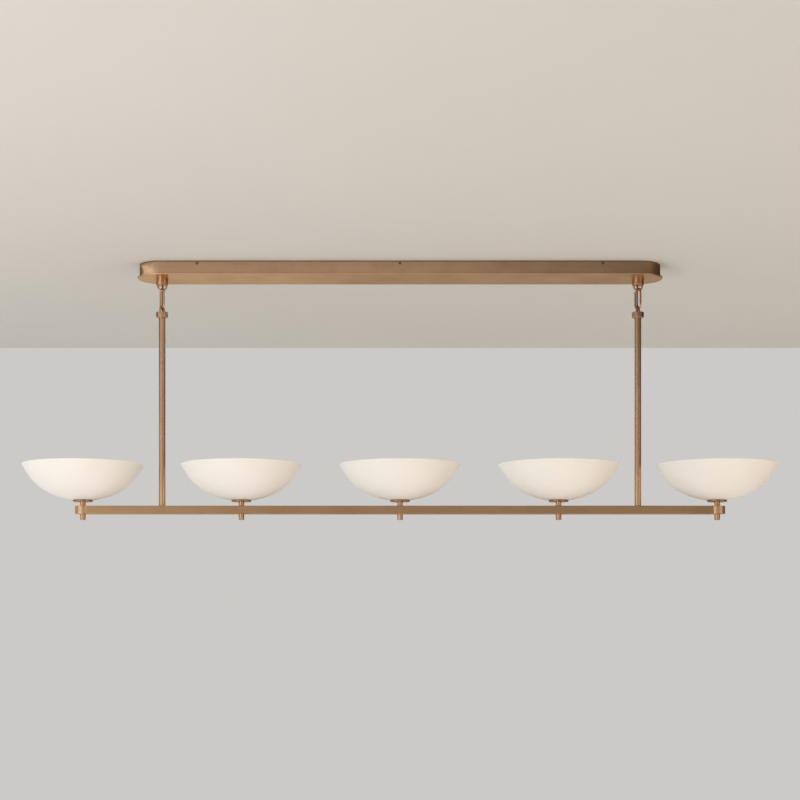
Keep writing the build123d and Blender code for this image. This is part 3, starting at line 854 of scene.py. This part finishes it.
def glowing_card(name, strength):
    """A white card lit evenly from behind."""
    graph = Graph(name)
    graph.shader.inputs["Base Color"].default_value = (0.05, 0.05, 0.05, 1.0)
    graph.shader.inputs["Emission Color"].default_value = (1.0, 0.97, 0.93, 1.0)
    graph.shader.inputs["Emission Strength"].default_value = strength
    return graph.material


def overhead_card():
    """A black card seen only in reflections, denser to the right so that the reflected ceiling
    darkens to the right as painted shade; it also covers the back of the canopy's left end.
    """
    graph = Graph("overhead_card")
    parts = graph.add("ShaderNodeSeparateXYZ")
    graph.join(graph.place(), parts.inputs["Vector"])
    to_right = graph.span(parts.outputs["X"], 0.0, 0.62, 0.0, 0.68)
    past_right = graph.span(parts.outputs["X"], 0.60, 0.66, 0.0, 0.30)
    past_left = graph.span(parts.outputs["X"], -0.60, -0.64, 0.0, 0.9)
    behind = graph.span(parts.outputs["Y"], -0.05, 0.01, 0.0, 1.0)
    back_left = graph.maths("MULTIPLY", past_left, behind)
    cover = graph.maths("ADD", graph.maths("ADD", to_right, past_right), back_left)
    graph.shader.inputs["Base Color"].default_value = (0.02, 0.018, 0.016, 1.0)
    graph.shader.inputs["Roughness"].default_value = 0.9
    graph.thin(cover, graph.clear(), graph.shader.outputs["BSDF"])
    return graph.material


def lamp(name, power, colour, size, place, target):
    light = bpy.data.lights.new(name, "AREA")
    light.energy = power
    light.color = colour
    light.shape = "RECTANGLE"
    light.size, light.size_y = size
    holder = bpy.data.objects.new(name, light)
    holder.location = place
    holder.rotation_euler = (Vector(target) - Vector(place)).to_track_quat("-Z", "Y").to_euler()
    bpy.context.scene.collection.objects.link(holder)


def pale_world(backdrop, ambient):
    """The backdrop colour to the eye and in reflections, and a plain ambient light for the rest."""
    world = bpy.data.worlds.new("pale_backdrop")
    bpy.context.scene.world = world
    world.use_nodes = True
    tree = world.node_tree
    tree.nodes.clear()
    rays = tree.nodes.new("ShaderNodeLightPath")
    seen = rays.outputs["Is Camera Ray"]
    for other in ("Is Glossy Ray", "Is Transmission Ray"):
        either = tree.nodes.new("ShaderNodeMath")
        either.operation = "MAXIMUM"
        tree.links.new(seen, either.inputs[0])
        tree.links.new(rays.outputs[other], either.inputs[1])
        seen = either.outputs[0]
    shown = tree.nodes.new("ShaderNodeBackground")
    shown.inputs["Color"].default_value = (*backdrop, 1.0)
    even = tree.nodes.new("ShaderNodeBackground")
    even.inputs["Color"].default_value = (1.0, 0.985, 0.965, 1.0)
    even.inputs["Strength"].default_value = ambient
    choice = tree.nodes.new("ShaderNodeMixShader")
    tree.links.new(seen, choice.inputs[0])
    tree.links.new(even.outputs[0], choice.inputs[1])
    tree.links.new(shown.outputs[0], choice.inputs[2])
    output = tree.nodes.new("ShaderNodeOutputWorld")
    tree.links.new(choice.outputs[0], output.inputs["Surface"])


class PENDANT_OT_stage(Operator):
    """Sets the camera, the lamps, the pale room and the cards that shape the metal"""

    bl_idname = "pendant.stage"
    bl_label = "Set the stage"

    def execute(self, context):
        stage = context.scene.pendant_stage
        context.scene.view_settings.view_transform = "Standard"
        pale_world(stage.backdrop, stage.ambient)
        self.room(stage)
        self.cards()
        self.lamps(stage)
        self.camera(context, stage)
        return {"FINISHED"}

    def room(self, stage):
        far, near, side, floor_z, wide = 1.15, -3.2, 2.8, -2.3, 9.0
        ceiling = panel_round_canopy("ceiling_panel", side, near, far, 0.0)
        ceiling.data.materials.append(room_paint("ceiling_paint", stage.room))
        ceiling.visible_shadow = False
        floor = stage_plane("floor", [
            (-wide, -wide, floor_z),
            (wide, -wide, floor_z),
            (wide, wide, floor_z),
            (-wide, wide, floor_z),
        ])
        floor.data.materials.append(room_paint("floor_paint", stage.floor))

    def cards(self):
        """Cards that only reflections see, as a photographer sets beside metal."""
        dark = plain_finish("dark_card", (0.22, 0.20, 0.18), (0.18, 0.165, 0.15), 0.9, 2.0)
        cards = {
            "card_right": (
                dark,
                [(2.2, -1.2, -2.2), (2.2, 2.4, -2.2), (2.2, 2.4, -0.02), (2.2, -1.2, -0.02)],
            ),
            "card_left": (
                glowing_card("light_card", 0.70),
                [(-2.4, 0.6, -1.3), (-2.4, 0.6, -0.1), (-0.3, 2.2, -0.1), (-0.3, 2.2, -1.3)],
            ),
            "card_end": (
                glowing_card("bright_card", 1.15),
                [(-0.95, -0.25, -0.0035), (-0.95, -0.015, -0.0035),
                 (-0.635, -0.015, -0.0035), (-0.635, -0.25, -0.0035)],
            ),
        }
        for name, (finish, corners) in cards.items():
            card = stage_plane(name, corners)
            card.data.materials.append(finish)
            self.mirror_only(card)
        # the canopy's upright wall mirrors the ceiling just in front of it
        card = panel_round_canopy("card_overhead", 2.6, -1.6, 1.1, -0.003)
        card.data.materials.append(overhead_card())
        self.mirror_only(card)

    def mirror_only(self, card):
        card.visible_camera = False
        card.visible_diffuse = False
        card.visible_transmission = False
        card.visible_shadow = False

    def lamps(self, stage):
        lamp(
            "key_lamp", stage.key_power, (1.0, 0.975, 0.955), (2.4, 1.5), (-2.6, -2.9, -1.5),
            (0.0, 0.0, -0.45),
        )
        lamp(
            "fill_lamp", stage.fill_power, (1.0, 0.74, 0.46), (1.6, 1.4), (3.9, -2.2, -1.3),
            (0.2, 0.0, -0.45),
        )
        # the ceiling casts no shadow, so this one reaches the bowls' insides
        lamp(
            "top_lamp", stage.top_power, (1.0, 0.985, 0.965), (3.0, 2.2), (0.0, 0.3, 2.4),
            (0.0, 0.0, -0.5),
        )

    def camera(self, context, stage):
        data = bpy.data.cameras.new("photo_camera")
        data.sensor_width = 36.0
        data.lens = stage.lens
        data.shift_y = stage.shift
        camera = bpy.data.objects.new("photo_camera", data)
        camera.location = (0.0, -stage.distance, -stage.drop)
        camera.rotation_euler = (math.pi / 2, 0.0, 0.0)
        context.scene.collection.objects.link(camera)
        context.scene.camera = camera


STEPS = (
    PENDANT_OT_brass,
    PENDANT_OT_glass,
    PENDANT_OT_fittings,
    PENDANT_OT_cords,
    PENDANT_OT_details,
    PENDANT_OT_stage,
)


class PENDANT_PT_sidebar(Panel):
    """Lists the steps and their settings"""

    bl_idname = "PENDANT_PT_sidebar"
    bl_label = "Island pendant"
    bl_space_type = "VIEW_3D"
    bl_region_type = "UI"
    bl_category = "Pendant"

    def draw(self, context):
        for step in STEPS:
            self.layout.operator(step.bl_idname)
        for group in ("pendant_finish", "pendant_cords", "pendant_stage"):
            box = self.layout.box()
            owner = getattr(context.scene, group)
            for name in owner.bl_rna.properties.keys():
                if name not in ("rna_type", "name"):
                    box.prop(owner, name)


GROUPS = {
    "pendant_finish": PendantFinish,
    "pendant_cords": PendantCords,
    "pendant_stage": PendantStage,
}
CLASSES = (*GROUPS.values(), *STEPS, PENDANT_PT_sidebar)


def register():
    for item in CLASSES:
        bpy.utils.register_class(item)
    for name, group in GROUPS.items():
        setattr(bpy.types.Scene, name, PointerProperty(type=group))


def unregister():
    for name in GROUPS:
        delattr(bpy.types.Scene, name)
    for item in reversed(CLASSES):
        bpy.utils.unregister_class(item)


def main():
    register()
    bpy.ops.pendant.brass()
    bpy.ops.pendant.glass()
    bpy.ops.pendant.fittings()
    bpy.ops.pendant.cords()
    bpy.ops.pendant.details()
    bpy.ops.pendant.stage()


if __name__ == "__main__":
    main()
